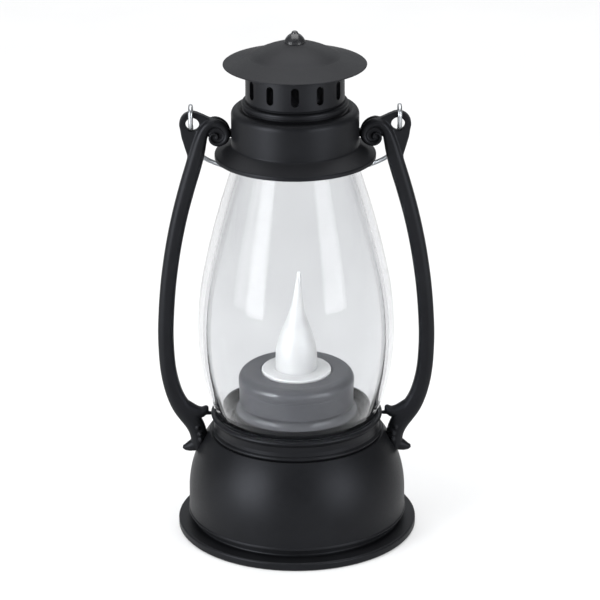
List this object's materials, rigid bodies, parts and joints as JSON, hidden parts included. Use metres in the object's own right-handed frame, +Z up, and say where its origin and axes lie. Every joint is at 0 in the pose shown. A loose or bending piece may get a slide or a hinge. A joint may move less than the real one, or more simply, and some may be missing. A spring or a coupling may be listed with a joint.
{
  "type": "battery lantern",
  "caption": "Small hurricane-style lantern: domed battery base, clear globe over a false candle, vented cap, scrolled side arms and a wire bail.",
  "frame": {"origin": "on the floor, under the middle of the round foot", "axes": "+Z up along the lantern's axis; +X along the line through the two side arms; the bail rests towards +Y"},
  "size_m": [0.0668, 0.0582, 0.125],
  "materials": {
    "black_plastic": "satin moulded, very fine grain",
    "clear_plastic": "clear, polished",
    "flame_plastic": "milky translucent",
    "zinc_wire": "bright drawn wire",
    "screw_steel": "plated",
    "cell_steel": "polished, nickel plated",
    "contact_steel": "nickel plated spring strip",
    "board": "green lacquered board",
    "led_epoxy": "tinted clear epoxy",
    "resistor_black": "black, ceramic ends",
    "switch_grey": "moulded",
    "knob_white": "moulded",
    "lead_red": "soft insulation",
    "lead_black": "soft insulation"
  },
  "bodies": {
    "lantern": {"foot_plate": "black_plastic", "base_shell": "black_plastic", "base_screws": "screw_steel", "contact_positive": "contact_steel", "contact_negative": "contact_steel", "switch_body": "switch_grey", "led_board": "board", "led_resistor": "resistor_black", "led": "led_epoxy", "lead_positive": "lead_red", "lead_negative": "lead_black", "lead_switched": "lead_black", "candle_cup": "black_plastic", "flame_diffuser": "flame_plastic", "neck_ring": "black_plastic", "globe": "clear_plastic", "top_collar": "black_plastic", "vent_chimney": "black_plastic", "roof_cap": "black_plastic", "finial": "black_plastic", "arm_left": "black_plastic", "arm_right": "black_plastic", "button_cell_1": "cell_steel", "button_cell_2": "cell_steel", "button_cell_3": "cell_steel"},
    "bail": {"bail": "zinc_wire"},
    "battery_door": {"battery_door": "black_plastic"},
    "battery_door_screw": {"battery_door_screw": "screw_steel"},
    "switch_knob": {"switch_knob": "knob_white"}
  },
  "joints": [
    {"name": "bail_swing", "type": "hinge", "parent": "lantern", "child": "bail", "pos_m": [0, 0, 0.10482], "axis": [1, 0, 0], "range_deg": [0, 278.9]},
    {"name": "battery_door_off", "type": "slide", "parent": "lantern", "child": "battery_door", "axis": [0, 0, -1], "range_m": [0, 0.015]},
    {"name": "door_screw_turn", "type": "hinge", "parent": "battery_door", "child": "battery_door_screw", "pos_m": [0.013, -0.006, 0.001], "axis": [0, 0, 1], "continuous": true},
    {"name": "switch_slide", "type": "slide", "parent": "lantern", "child": "switch_knob", "axis": [1, 0, 0], "range_m": [0, 0.002]}
  ]
}
